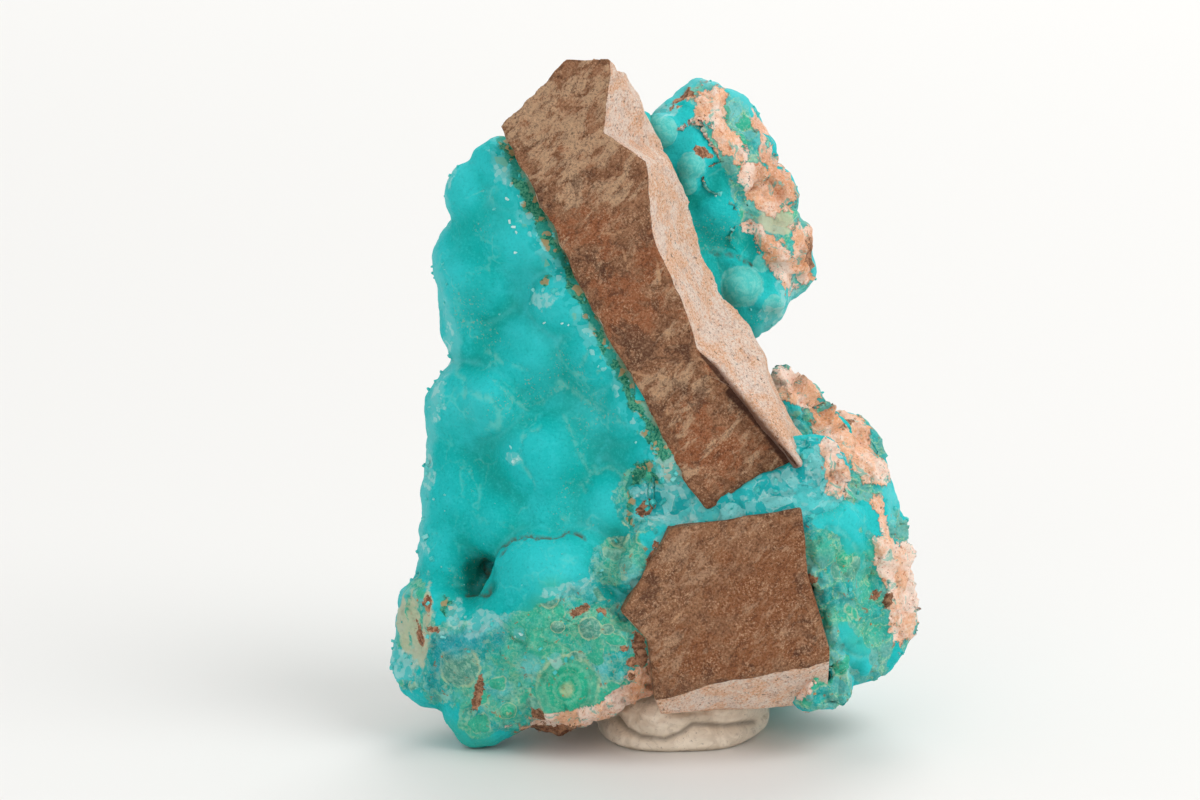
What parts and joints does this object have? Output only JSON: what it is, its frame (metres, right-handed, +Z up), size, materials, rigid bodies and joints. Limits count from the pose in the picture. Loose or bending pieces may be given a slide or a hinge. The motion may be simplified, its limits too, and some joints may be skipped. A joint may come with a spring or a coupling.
{
  "type": "hemimorphite mineral specimen",
  "caption": "Blue-green botryoidal hemimorphite grown round two broken pieces of brown host rock, propped upright on a wad of putty.",
  "frame": {"origin": "middle of the specimen's footprint, on the surface it stands on", "axes": "+Z up, the display face with the rock slab and block towards -Y, +X to the right of someone looking at it"},
  "size_m": [0.0704, 0.0452, 0.0921],
  "materials": {
    "hemimorphite": "fine sparkling druse over waxy blue-green botryoidal crust, granular and veined on the broken faces",
    "host_rock": "matt brown weathered skin, pinkish tan where it is freshly broken",
    "putty": "dull beige, pressed and creased by fingers"
  },
  "bodies": {
    "root": {"hemimorphite": "hemimorphite", "upper_slab": "host_rock", "lower_block": "host_rock", "putty_wad": "putty"}
  },
  "joints": []
}
